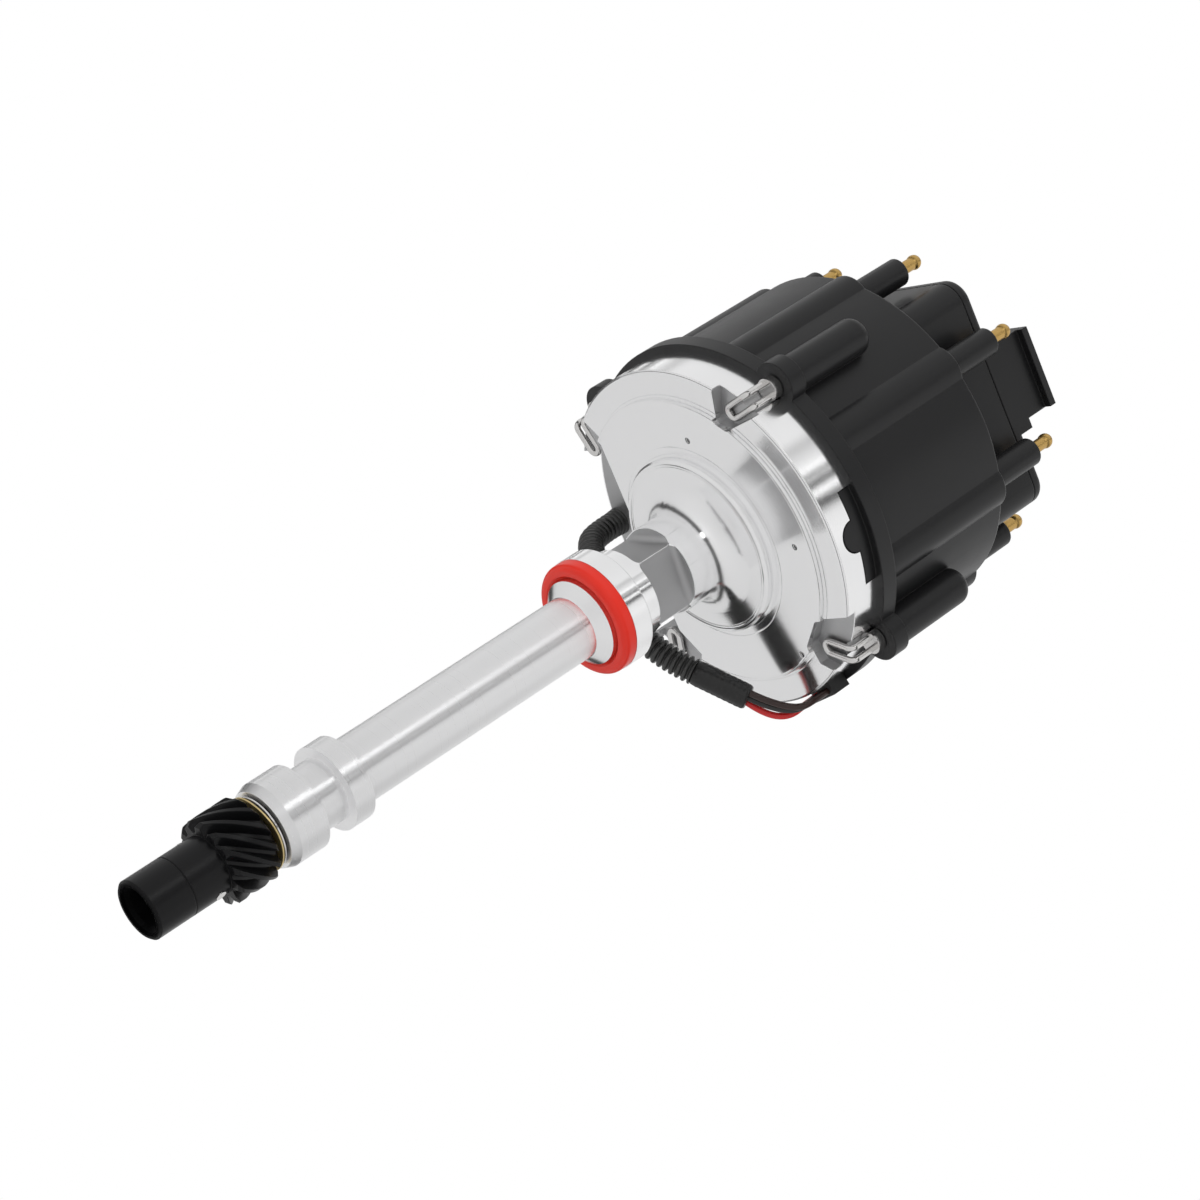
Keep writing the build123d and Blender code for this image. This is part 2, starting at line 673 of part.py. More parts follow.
def make_cover():
    """Coil cover: a rounded box, open below, with the raised part and its lip on the -Y side."""
    def outer(inset, low, high, corner, edge):
        shape = block(-cover_x + inset, cover_x - inset, -cover_y + inset, cover_y - inset, low, high)
        shape = fillet(shape.edges().filter_by(Axis.Z), corner)
        return fillet(shape.faces().sort_by(Axis.Z)[-1].edges(), edge)
    body = outer(0, shoulder_z, cover_top, cover_corner, cover_edge)
    plateau = block(plateau_low_x, plateau_high_x, -cover_y, -cover_y + plateau_depth,
                    cover_top - 8, plateau_top)
    lip = block(plateau_low_x, plateau_high_x, -cover_y - plateau_lip,
                -cover_y + plateau_depth, plateau_top - plateau_lip_t, plateau_top)
    beside = block(plateau_high_x - 1, plateau_high_x + step_w, -cover_y, -cover_y + step_depth,
                   cover_top - 8, cover_top + step_h)
    body = body + plateau + lip + beside
    body = body - outer(cover_wall, shoulder_z - 5, cover_top - cover_wall,
                        cover_corner - cover_wall, cover_edge - 1.5)
    seam_z = cover_top - cover_seam_drop
    around_side = RectangleRounded(2 * cover_x + 2, 2 * cover_y + 2, cover_corner)
    inside = RectangleRounded(2 * (cover_x - cover_seam), 2 * (cover_y - cover_seam), cover_corner - cover_seam)
    body = body - upright(around_side - inside, seam_z, seam_z + cover_seam)
    body = body - block(plateau_low_x + cover_wall, plateau_high_x - cover_wall,
                        -cover_y + cover_wall, -cover_y + plateau_depth - cover_wall,
                        cover_top - 10, plateau_top - plateau_lip_t)
    for side in (-1, 1):
        body = body - rod(screw_r, cover_top - 9, cover_top + 1, side * cover_screw_x, cover_screw_y)
    return body


# Housing and what stays in it
save("housing", make_housing())
save("flange_seal", make_seal())
save("lower_bushing", ring(shaft_r + running, bushing_r, barrel_bottom, lower_bushing_high))
save("upper_bushing", ring(shaft_r + running, bushing_r, upper_bushing_low, tower_top))

# Pickup
save("pickup_base", ring(tower_r, pickup_r, pickup_z, coil_z))
save("pickup_coil", ring(tower_r + 1, pickup_r - 3, coil_z, magnet_z))
save("ring_magnet", ring(core_r + 6, pickup_r - 1, magnet_z, pole_z))
save("pole_piece", make_pole_piece())

# Module and capacitor on the bowl's floor
module_z = floor_z + 9
module_far = cavity_r - 8.4
module_near = pickup_r + 4.5
module = block(-24, 24, -module_far, -module_near, floor_z, module_z)
module_screw_x = 20.0
module_y = -(module_far + module_near) / 2
for side in (-1, 1):
    module = module - rod(screw_r, floor_z - 1, module_z + 1, side * module_screw_x, module_y)
save("ignition_module", module)
save("module_screws", [screw(screw_r, module_z - floor_z, 3.5, 1.8, side * module_screw_x, module_y,
                             module_z) for side in (-1, 1)])
can_far = cavity_r - 12.4
can = block(-can_far, -pickup_r - 5.5, -16, 16, floor_z, floor_z + 13)
save("capacitor", fillet(can.edges().filter_by(Axis.Z), 4))

# Shaft assembly
save("main_shaft", make_shaft())
save("drive_gear", make_gear())
save("gear_pin", pin_bar(gear_hub_r + 0.2))
shim_z = gear_high + gear_back_t
washer_z = shim_z + shim_t
save("gear_shim", ring(shaft_r, collar_r - 2.2, shim_z, washer_z))
save("thrust_washer", ring(shaft_r, collar_r - 2.8, washer_z, barrel_bottom - gap))
cam = Pos(0, 0, advance_z + gap) * extrude(SlotOverall(cam_length, cam_width), weight_t)
save("advance_cam", cam - rod(shaft_r, advance_z, advance_z + 10))

# Advance assembly that turns a little on the shaft
save("timer_core", make_timer_core())
save("weight_base", make_weight_base())
pin_top = weight_z + weight_t + 1.5
save("weight_pins", [rod(pin_r, advance_z, pin_top, side * pin_x) for side in (-1, 1)])
save("advance_weight_1", make_weight())
save("advance_weight_2", turn(make_weight(), 180))
save("rotor", make_rotor())
save("rotor_screws", [screw(screw_r, rotor_disc_t + 7, 3.4, 1.8, side * rotor_post_x, 0,
                            rotor_z + rotor_disc_t) for side in (-1, 1)])
blade = block(-5, blade_reach, -blade_w / 2, blade_w / 2, blade_z, blade_z + blade_t)
tip = block(blade_reach - blade_tip_t, blade_reach, -blade_w / 2, blade_w / 2,
            blade_z - blade_tip_drop, blade_z)
save("rotor_blade", blade + tip)

# Cap and what it carries
save("cap", make_cap())
save("cap_terminals", make_terminals())
button_z = blade_z + blade_t + gap
save("carbon_button", rod(button_r, button_z, button_z + button_h))
save("button_spring", coil_spring(1.2, button_r, button_z + button_h, shoulder_z - cap_top_t))
coil_seat = shoulder_z + coil_seal_t
save("coil_seal", ring(3, coil_seal_r, shoulder_z, coil_seat))
frame_z = shoulder_z + coil_pad_h
window_x = core_frame_x - core_frame_w
window_y = core_frame_y - core_frame_w - 1
coil = block(-window_x, window_x, -window_y, window_y, coil_seat, coil_seat + coil_h)
coil = fillet(coil.edges().filter_by(Axis.Z), 3)
frame = block(-core_frame_x, core_frame_x, -core_frame_y, core_frame_y, frame_z, frame_z + core_frame_t)
frame = frame - block(-window_x, window_x, -window_y, window_y, frame_z - 1, frame_z + core_frame_t + 1)
screw_x = core_frame_x - core_frame_w / 2
screw_y = core_frame_y - core_frame_w / 2
for sx in (-screw_x, screw_x):
    for sy in (-screw_y, screw_y):
        frame = frame - rod(screw_r, frame_z - 1, frame_z + core_frame_t + 1, sx, sy)
save("ignition_coil", coil)
save("coil_core", frame)
save("coil_screws", [screw(screw_r, core_frame_t + coil_pad_h - 1, 3.6, 2.2, sx, sy,
                           frame_z + core_frame_t)
                     for sx in (-screw_x, screw_x) for sy in (-screw_y, screw_y)])
save("coil_cover", make_cover())
save("cover_screws", [screw(screw_r, 8.0, 3.6, 2.2, side * cover_screw_x, cover_screw_y, cover_top)
                      for side in (-1, 1)])

# Latches and their springs
for number, hook_turn in enumerate(hook_turns):
    save(f"latch_{number + 1}", turn(make_latch(hook_turn), latch_turn + 360.0 / latch_count * number))
save("latch_springs", around(latch_count, latch_turn, coil_spring(
    latch_rod_r + gap, latch_chamber_r - gap, latch_ledge_z, latch_head_z - gap, latch_circle_r)))

# Harness
save("harness_plug", block(plug_x - plug_half, plug_x + plug_half, plug_y0, plug_y1, plug_z0, recess_roof))
plug_y = (plug_y0 + plug_y1) / 2
sleeve_start = Vector(43.6, 9.7, 38.4)
sleeve_end = Vector(59, -5, 46.2)
along = (sleeve_end - sleeve_start).normalized()
loom_route = [(plug_x, plug_y, plug_z0), (plug_x, plug_y, loom_knee_z), (plug_x + 1, 61, 52.5), (0.5, 51, 44.5),
              (12, 37, 37), tuple(sleeve_start - along * sleeve_run), tuple(sleeve_start)]
save("loom", cord(loom_route, loom_r))
sleeve = Plane(origin=sleeve_start, z_dir=along) * Cylinder(
    sleeve_r, (sleeve_end - sleeve_start).length, align=(Align.CENTER, Align.CENTER, Align.MIN))
save("heat_shrink", sleeve)
nose = block(bowl_r + gap, grommet_out, -grommet_half, grommet_half, grommet_z, rim_z - gap)
neck = block(cavity_r - 1.5, bowl_r + gap, -grommet_half, grommet_half, grommet_z, rim_z)
save("grommet", turn(nose + neck, grommet_azimuth))
across = along.cross(Vector(0, 0, 1)).normalized()
lead_circle_r = (bowl_r + gap + grommet_out) / 2
for name, place in (("red_lead", -1), ("black_lead", 0), ("brown_lead", 1)):
    start = sleeve_end + across * (lead_pitch * place)
    lead_azimuth = grommet_azimuth - degrees(grommet_pitch / lead_circle_r) * place
    end = Vector(*at(lead_circle_r, lead_azimuth), grommet_z)
    route = [start, start + along * lead_straight, end + Vector(0.5, 2.6, -13), end - Vector(0, 0, lead_rise),
             end]
    save(name, cord([tuple(point) for point in route], lead_r))
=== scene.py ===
"""Ignition distributor: finishes, small parts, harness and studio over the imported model."""
import json
from math import cos, pi, radians, sin

import bmesh
import bpy
from bpy.props import FloatProperty, FloatVectorProperty, PointerProperty
from mathutils import Matrix, Vector

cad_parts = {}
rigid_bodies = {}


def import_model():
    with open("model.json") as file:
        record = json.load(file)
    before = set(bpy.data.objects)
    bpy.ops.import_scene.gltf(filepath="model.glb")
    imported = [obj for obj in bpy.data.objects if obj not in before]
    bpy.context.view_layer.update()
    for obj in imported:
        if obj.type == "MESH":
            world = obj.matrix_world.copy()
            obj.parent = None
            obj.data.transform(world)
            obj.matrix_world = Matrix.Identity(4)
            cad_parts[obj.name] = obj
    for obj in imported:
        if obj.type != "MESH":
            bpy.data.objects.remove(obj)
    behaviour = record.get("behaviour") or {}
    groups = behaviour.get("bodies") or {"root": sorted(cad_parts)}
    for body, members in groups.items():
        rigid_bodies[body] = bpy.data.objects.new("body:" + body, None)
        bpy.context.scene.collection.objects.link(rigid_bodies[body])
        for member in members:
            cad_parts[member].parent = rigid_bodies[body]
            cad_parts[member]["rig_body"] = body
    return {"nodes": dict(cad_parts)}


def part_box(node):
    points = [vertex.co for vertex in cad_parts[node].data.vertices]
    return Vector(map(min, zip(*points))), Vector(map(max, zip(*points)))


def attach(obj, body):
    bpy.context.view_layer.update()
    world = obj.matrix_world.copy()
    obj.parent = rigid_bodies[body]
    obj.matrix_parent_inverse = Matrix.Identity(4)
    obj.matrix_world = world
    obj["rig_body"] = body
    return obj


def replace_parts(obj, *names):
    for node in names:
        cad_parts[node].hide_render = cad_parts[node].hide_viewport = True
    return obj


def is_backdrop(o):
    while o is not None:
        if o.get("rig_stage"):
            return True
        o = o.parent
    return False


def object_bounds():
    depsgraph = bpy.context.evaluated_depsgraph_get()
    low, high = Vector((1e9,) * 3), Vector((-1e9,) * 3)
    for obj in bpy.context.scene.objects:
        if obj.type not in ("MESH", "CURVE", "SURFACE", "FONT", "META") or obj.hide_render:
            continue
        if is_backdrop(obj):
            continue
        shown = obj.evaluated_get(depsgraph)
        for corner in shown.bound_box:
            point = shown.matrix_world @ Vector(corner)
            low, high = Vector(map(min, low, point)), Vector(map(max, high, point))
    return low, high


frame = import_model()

bl_info = {
    "name": "Ignition distributor",
    "version": (1, 0, 0),
    "blender": (4, 5, 0),
    "location": "View3D > Sidebar > Distributor",
    "description": "Finishes, harness and studio for an ignition distributor",
    "category": "Object",
}

NODES = frame["nodes"]
MM = 0.001

# Places on the housing, in metres: radii from the shaft's axis and levels along it
BARREL_TOP = -0.012
NECK_FLAT_RADIUS = 0.0174
NECK_FLAT_LOW = 0.0168
NECK_FLAT_HIGH = 0.0352
DISC_LEVEL = 0.0585
POCKET_RADIUS = 0.0688
POCKET_LEVEL = 0.0608
UNDERSIDE_HIGH = 0.0625

# Turned lines on the underside: radius and half width, in metres
TURNED_LINES = ((0.0592, 0.0005), (0.0576, 0.0004), (0.0391, 0.0003), (0.0338, 0.0004), (0.0329, 0.0002))
LINE_SLOPE = 0.4
FINISH_DEPTH = 0.000012

# Threaded holes in the disc: distance from the axis in metres, and azimuth in degrees
THREADED_HOLES = ((0.0434, -159.8), (0.0499, -84.9), (0.056, -31.6))
HOLE_REACH = 0.0017
THREAD_RADIUS = 0.95 * MM
THREAD_PITCH = 0.75 * MM
THREAD_WIRE = 0.18 * MM
POINTS_PER_TURN = 16
THREAD_POINTS = 50

# Rings between the gear and the housing, one of them a near-black ring that is painted shadow in the gap
RING_BORE = 7.2 * MM
RING_HALF = 0.3 * MM
SHADOW_RING_INSET = 0.8 * MM

# Hollow tip of the drive gear, in metres, where a lighter base colour is painted as a reflection
MOUTH_RADIUS = 0.0088
MOUTH_LEVEL = -0.185

# Routes of the cords, in metres
LOOM_ROUTE = [(-0.005, 0.0668, 0.069), (-0.005, 0.0668, 0.06), (-0.004, 0.061, 0.0525),
              (0.0005, 0.051, 0.0445), (0.012, 0.037, 0.037), (0.031377, 0.021367, 0.032209),
              (0.0436, 0.0097, 0.0384)]
SLEEVE_START = Vector((0.0436, 0.0097, 0.0384))
SLEEVE_END = Vector((0.059, -0.005, 0.0462))
LEADS = {
    "red_lead": ([(0.06093, -0.00298, 0.0462), (0.06725, -0.0074, 0.0484), (0.07165, -0.0129, 0.0542),
                  (0.06995, -0.01597, 0.0622), (0.06995, -0.01597, 0.0682)], 0.0302),
    "black_lead": ([(0.059, -0.005, 0.0462), (0.06443, -0.01019, 0.04895), (0.06964, -0.01657, 0.0552),
                    (0.06914, -0.01917, 0.0622), (0.06914, -0.01917, 0.0682)], 0.0314),
    "brown_lead": ([(0.05707, -0.00702, 0.0462), (0.0625, -0.01221, 0.04895), (0.06869, -0.01973, 0.0552),
                    (0.06819, -0.02233, 0.0622), (0.06819, -0.02233, 0.0682)], 0.0326),
}
LEAD_SLOTS = {"red_lead": "red_insulation", "black_lead": "black_insulation",
              "brown_lead": "brown_insulation"}

# Camera: its place in metres and its axes
CAMERA_PLACE = Vector((-0.298323, -0.934771, -0.629240))
CAMERA_RIGHT = Vector((0.382714, -0.598654, 0.703664))
CAMERA_UP = Vector((-0.888626, -0.030179, 0.457638))
CAMERA_AHEAD = Vector((0.252731, 0.800439, 0.543530))

# What the metal mirrors: place from the picture's bottom to its top, and brightness
STUDIO_BANDS = ((0.0, 0.70), (0.14, 0.86), (0.20, 0.45), (0.25, 0.86), (0.42, 0.82), (0.50, 0.92),
                (0.60, 0.84), (0.635, 0.05), (0.66, 0.05), (0.675, 1.4), (0.692, 1.2), (0.705, 0.06),
                (0.722, 0.06), (0.735, 0.9), (0.75, 0.10), (0.768, 1.3), (0.79, 0.88), (0.85, 0.55),
                (0.88, 0.85), (1.0, 0.80))
HORIZON_LEVEL = 0.12
HORIZON_HALF = 0.16
HORIZON_SOFT = 0.06
HORIZON_TONE = (0.04, 0.04, 0.04, 1.0)
DIFFUSE_TONE = (0.5, 0.5, 0.5, 1.0)
WHITE = (1.0, 1.0, 1.0, 1.0)
FLOOR_TONE = (0.94, 0.94, 0.94, 1.0)
FLOOR_HALF = 3.0
FLOOR_GAP = 0.0004
# The soft lamps stand this many times further off than their offsets, and are larger by as much
LAMP_REACH = 2.6


def colour(name, description, default):
    """A colour property."""
    return FloatVectorProperty(name=name, description=description, default=default, subtype="COLOR",
                               size=3, min=0.0, max=1.0)


def length(name, description, default):
    """A length property, in metres."""
    return FloatProperty(name=name, description=description, default=default, min=0.0, subtype="DISTANCE",
                         unit="LENGTH")


def factor(name, description, default):
    """A property from 0 to 1."""
    return FloatProperty(name=name, description=description, default=default, min=0.0, max=1.0,
                         subtype="FACTOR")


def power(name, description, default):
    """A lamp's power."""
    return FloatProperty(name=name, description=description, default=default, min=0.0, unit="POWER")


class DistributorFinish(bpy.types.PropertyGroup):
    """Colours and gloss of the finishes."""
    aluminium: colour("Aluminium", "Colour of the turned aluminium", (0.94, 0.94, 0.945))
    aluminium_rough: factor("Aluminium roughness", "Roughness of the turned aluminium", 0.14)
    milled: colour("Milled aluminium", "Colour of the milled flats and pockets", (0.52, 0.52, 0.525))
    thread: colour("Thread", "Colour of the threads in the disc's holes", (0.9, 0.9, 0.9))
    plastic: colour("Plastic", "Colour of the moulded cap", (0.009, 0.009, 0.0095))
    plastic_rough: factor("Plastic roughness", "Roughness of the moulded cap", 0.36)
    rubber: colour("Rubber", "Colour of the black rubber", (0.012, 0.012, 0.012))
    seal: colour("Seal", "Colour of the flange seal", (0.78, 0.028, 0.014))
    carbon: colour("Carbon", "Colour of the carbon button", (0.02, 0.02, 0.02))
    spring_steel: colour("Spring steel", "Colour of the latches and springs", (0.72, 0.71, 0.70))
    plated_steel: colour("Plated steel", "Colour of the plated pieces", (0.62, 0.60, 0.53))
    dark_steel: colour("Dark steel", "Colour of the shaft and its pieces", (0.26, 0.26, 0.27))
    brass: colour("Brass", "Colour of the terminals", (0.60, 0.39, 0.13))
    pale_brass: colour("Pale brass", "Colour of the wavy shim", (0.78, 0.62, 0.30))
    oily_steel: colour("Oily steel", "Colour of the oiled packing", (0.01, 0.01, 0.01))
    # Painted shadow: colour of a near-black ring put in the gap between washer and housing
    bronze: colour("Bronze", "Colour of the bushings", (0.50, 0.30, 0.14))
    gear: colour("Gear", "Colour of the black gear", (0.005, 0.005, 0.0055))
    # Painted reflection: a lighter colour inside the gear's hollow tip
    gear_mouth_sheen: colour("Gear's mouth", "Colour inside the gear's tip", (0.03, 0.03, 0.031))
    loom: colour("Loom", "Colour of the ridged loom", (0.018, 0.018, 0.017))
    heat_shrink: colour("Heat shrink", "Colour of the heat-shrink sleeve", (0.008, 0.008, 0.008))
    red_lead: colour("Red lead", "Colour of the red lead", (0.55, 0.012, 0.012))
    black_lead: colour("Black lead", "Colour of the black lead", (0.012, 0.012, 0.012))
    brown_lead: colour("Brown lead", "Colour of the brown lead", (0.022, 0.009, 0.007))


class DistributorHarness(bpy.types.PropertyGroup):
    """Sizes of the harness."""
    loom_radius: length("Loom radius", "Radius over the loom's ridges", 5.2 * MM)
    loom_root: length("Loom root", "Radius between the loom's ridges", 3.9 * MM)
    loom_pitch: length("Loom pitch", "Distance from ridge to ridge", 2.5 * MM)
    sleeve_radius: length("Sleeve radius", "Radius of the heat-shrink sleeve", 4.95 * MM)
    boot_radius: length("Boot radius", "Radius of the loom's boot at its top", 5.5 * MM)
    boot_taper: length("Boot taper", "How much thinner the boot is at its foot", 0.5 * MM)
    boot_groove: length("Boot groove", "Depth of the boot's grooves", 0.4 * MM)
    lead_radius: length("Lead radius", "Radius of each lead", 1.3 * MM)


class DistributorStage(bpy.types.PropertyGroup):
    """Camera and light."""
    lens: FloatProperty(name="Lens", description="Focal length", default=96.6, min=10.0, unit="CAMERA")
    key_power: power("Key light", "Power of the key light at its nearer place", 6.0)
    fill_power: power("Fill light", "Power of each fill light at its nearer place", 2.0)


class Shade:
    """Short way to put nodes in a node tree."""

    def __init__(self, tree):
        self.tree = tree

    def add(self, kind, inputs=None, **settings):
        """A node, with its settings and its inputs, which are values or sockets."""
        node = self.tree.nodes.new(kind)
        for name, value in settings.items():
            setattr(node, name, value)
        for name, value in (inputs or {}).items():
            self.put(node.inputs[name], value)
        return node

    def put(self, socket, value):
        """Sets a socket or links to it."""
        if isinstance(value, bpy.types.NodeSocket):
            self.tree.links.new(value, socket)
        else:
            socket.default_value = value

    def maths(self, operation, first, second=0.0):
        """A Math node's result."""
        return self.add("ShaderNodeMath", {0: first, 1: second}, operation=operation).outputs[0]

    def mix(self, amount, first, second):
        """A colour between two."""
        node = self.add("ShaderNodeMix", data_type="RGBA")
        self.put(node.inputs["Factor"], amount)
        self.put(node.inputs["A"], first)
        self.put(node.inputs["B"], second)
        return node.outputs["Result"]

    def between(self, amount, low, high):
        """A value between two."""
        node = self.add("ShaderNodeMapRange", {"Value": amount, "To Min": low, "To Max": high})
        return node.outputs["Result"]

    def above(self, value, limit, width):
        """0 below a limit and 1 above it, over a short width."""
        node = self.add("ShaderNodeMapRange",
                        {"Value": value, "From Min": limit - width, "From Max": limit + width})
        return node.outputs["Result"]


def rgba(value):
    """A colour with its alpha."""
    return (value[0], value[1], value[2], 1.0)


def new_group(name, inputs, outputs):
    """A shader node group with named float inputs and outputs."""
    tree = bpy.data.node_groups.new(name, "ShaderNodeTree")
    for label, value in inputs.items():
        socket = tree.interface.new_socket(name=label, in_out="INPUT", socket_type="NodeSocketFloat")
        socket.default_value = value
    for label in outputs:
        tree.interface.new_socket(name=label, in_out="OUTPUT", socket_type="NodeSocketFloat")
    shade = Shade(tree)
    return shade, shade.add("NodeGroupInput").outputs, shade.add("NodeGroupOutput").inputs


def turned_group():
    """Fine lines round the shaft's axis, as a lathe leaves them, with the radius and the level."""
    tree = bpy.data.node_groups.get("Turned lines")
    if tree:
        return tree
    shade, given, result = new_group("Turned lines", {"Lines per metre": 900.0},
                                     ["Height", "Radius", "Level"])
    place = shade.add("ShaderNodeSeparateXYZ",
                      {0: shade.add("ShaderNodeTexCoord").outputs["Object"]}).outputs
    squares = shade.maths("ADD", shade.maths("MULTIPLY", place["X"], place["X"]),
                          shade.maths("MULTIPLY", place["Y"], place["Y"]))
    radius = shade.maths("SQRT", squares)
    scaled = [shade.maths("MULTIPLY", value, given["Lines per metre"]) for value in (radius, place["Z"])]
    point = shade.add("ShaderNodeCombineXYZ", {0: scaled[0], 1: scaled[1]}).outputs[0]
    noise = shade.add("ShaderNodeTexNoise", {"Vector": point, "Scale": 1.0, "Detail": 3.0, "Roughness": 0.7})
    shade.put(result["Height"], noise.outputs[0])
    shade.put(result["Radius"], radius)
    shade.put(result["Level"], place["Z"])
    return shade.tree


def grain_group():
    """Fine grain of a moulded or blasted surface, with a broad cloud over it."""
    tree = bpy.data.node_groups.get("Fine grain")
    if tree:
        return tree
    shade, given, result = new_group("Fine grain", {"Grains per metre": 2500.0}, ["Height", "Cloud"])
    place = shade.add("ShaderNodeTexCoord").outputs["Object"]
    fine = shade.add("ShaderNodeTexNoise",
                     {"Vector": place, "Scale": given["Grains per metre"], "Detail": 2.0})
    broad = shade.add("ShaderNodeTexNoise", {"Vector": place, "Scale": 60.0, "Detail": 3.0})
    shade.put(result["Height"], fine.outputs[0])
    shade.put(result["Cloud"], broad.outputs[0])
    return shade.tree


def new_material(name, base, rough, metal=0.0, **sockets):
    """A material with one Principled BSDF."""
    material = bpy.data.materials.new(name)
    material.use_nodes = True
    shade = Shade(material.node_tree)
    shader = material.node_tree.nodes["Principled BSDF"]
    shade.put(shader.inputs["Base Color"], rgba(base))
    shade.put(shader.inputs["Roughness"], rough)
    shade.put(shader.inputs["Metallic"], metal)
    for label, value in sockets.items():
        shade.put(shader.inputs[label.replace("_", " ")], value)
    return material, shade, shader


def bump(shade, shader, height, distance, edge):
    """Feeds a height to the shader's normal, with the sharp edges just broken."""
    round_edge = shade.add("ShaderNodeBevel", {"Radius": edge}, samples=6)
    node = shade.add("ShaderNodeBump", {"Height": height, "Distance": distance, "Strength": 1.0,
                                        "Normal": round_edge.outputs[0]})
    shade.put(shader.inputs["Normal"], node.outputs[0])


def grained(name, base, rough, depth, grains=2500.0, edge=0.4 * MM, **sockets):
    """A material with fine grain and a slightly uneven gloss."""
    spread = 0.05
    material, shade, shader = new_material(name, base, rough, **sockets)
    group = shade.add("ShaderNodeGroup", node_tree=grain_group())
    shade.put(group.inputs["Grains per metre"], grains)
    bump(shade, shader, group.outputs["Height"], depth, edge)
    shade.put(shader.inputs["Roughness"],
              shade.between(group.outputs["Cloud"], rough - spread, rough + spread))
    return material


def small_metal(name, base, rough):
    """A metal of a small piece."""
    return grained(name, base, rough, 0.003 * MM, edge=0.1 * MM, metal=1.0)


def milled_mask(shade, radius, level):
    """1 on the neck's milled flats and in the latches' pockets."""
    flat = shade.maths("MULTIPLY", shade.maths("LESS_THAN", radius, NECK_FLAT_RADIUS),
                       shade.maths("MULTIPLY", shade.maths("GREATER_THAN", level, NECK_FLAT_LOW),
                                   shade.maths("LESS_THAN", level, NECK_FLAT_HIGH)))
    pocket = shade.maths("MULTIPLY", shade.maths("LESS_THAN", radius, POCKET_RADIUS),
                         shade.maths("GREATER_THAN", level, POCKET_LEVEL))
    return shade.maths("MAXIMUM", flat, pocket)


def hole_shade_mask(shade, level):
    """1 inside the disc's threaded holes, where the base colour is darkened as painted shade."""
    across = shade.add("ShaderNodeVectorMath", {0: shade.add("ShaderNodeTexCoord").outputs["Object"],
                                                1: (1.0, 1.0, 0.0)}, operation="MULTIPLY").outputs[0]
    near = 0.0
    for out, azimuth in THREADED_HOLES:
        hole = (out * cos(radians(azimuth)), out * sin(radians(azimuth)), 0.0)
        gap = shade.add("ShaderNodeVectorMath", {0: across, 1: hole}, operation="DISTANCE").outputs["Value"]
        near = shade.maths("ADD", shade.maths("LESS_THAN", gap, HOLE_REACH), near)
    return shade.maths("MULTIPLY", near, shade.maths("GREATER_THAN", level, DISC_LEVEL + 0.3 * MM))


def turned_lines(shade, radius, level, height):
    """A height with the underside's turned lines cut in it."""
    below = shade.maths("LESS_THAN", level, UNDERSIDE_HIGH)
    for line, half in TURNED_LINES:
        off = shade.maths("ABSOLUTE", shade.maths("SUBTRACT", radius, line))
        groove = shade.maths("MAXIMUM", shade.maths("SUBTRACT", 1.0, shade.maths("DIVIDE", off, half)), 0.0)
        cut = shade.maths("MULTIPLY", groove, -LINE_SLOPE * half / FINISH_DEPTH)
        height = shade.maths("ADD", height, shade.maths("MULTIPLY", cut, below))
    return height


def dress(material, *names):
    """Gives CAD nodes a material, and smooth shading with crisp edges where they have no normals."""
    for name in names:
        mesh = NODES[name].data
        mesh.materials.clear()
        mesh.materials.append(material)
        if not mesh.has_custom_normals:
            mesh.shade_smooth()
            mesh.set_sharp_from_angle(angle=radians(32))


def new_piece(name, mesh, material, body):
    """A piece made here, with its material, on a body."""
    mesh.materials.append(material)
    piece = bpy.data.objects.new(name, mesh)
    bpy.context.scene.collection.objects.link(piece)
    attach(piece, body)
    return piece


def spline(name, points, radius=0.0):
    """A smooth curve that follows a route."""
    curve = bpy.data.curves.new(name, "CURVE")
    curve.dimensions = "3D"
    curve.resolution_u = 16
    curve.bevel_depth = radius
    curve.bevel_resolution = 5
    line = curve.splines.new("NURBS")
    line.points.add(len(points) - 1)
    for place, point in zip(line.points, points):
        place.co = (*point, 1.0)
    line.order_u = 3
    line.use_endpoint_u = True
    return curve


def followed(points):
    """The points along a route's smooth curve."""
    curve = spline("route", points)
    holder = bpy.data.objects.new("route", curve)
    mesh = bpy.data.meshes.new_from_object(holder)
    found = [vertex.co.copy() for vertex in mesh.vertices]
    bpy.data.objects.remove(holder)
    bpy.data.curves.remove(curve)
    bpy.data.meshes.remove(mesh)
    return found


def evenly(points, step):
    """Points a step apart along a line."""
    lengths = [0.0]
    for first, second in zip(points, points[1:]):
        lengths.append(lengths[-1] + (second - first).length)
    count = max(2, round(lengths[-1] / step))
    spaced = []
    index = 0
    for number in range(count + 1):
        wanted = lengths[-1] * number / count
        while index < len(points) - 2 and lengths[index + 1] < wanted:
            index += 1
        part = (wanted - lengths[index]) / (lengths[index + 1] - lengths[index])
        spaced.append(points[index].lerp(points[index + 1], part))
    return spaced


def skinned(name, work, rings, closed, crisp):
    """A smooth mesh over rings of vertices, joined into a loop or else capped at both ends."""
    following = rings[1:] + rings[:1] if closed else rings[1:]
    for first, second in zip(rings, following):
        for k in range(len(first)):
            after = (k + 1) % len(first)
            work.faces.new((first[k], first[after], second[after], second[k]))
    if not closed:
        work.faces.new(list(reversed(rings[0])))
        work.faces.new(rings[-1])
    bmesh.ops.recalc_face_normals(work, faces=work.faces)
    mesh = bpy.data.meshes.new(name)
    work.to_mesh(mesh)
    work.free()
    mesh.shade_smooth()
    mesh.set_sharp_from_angle(angle=radians(crisp))
    return mesh


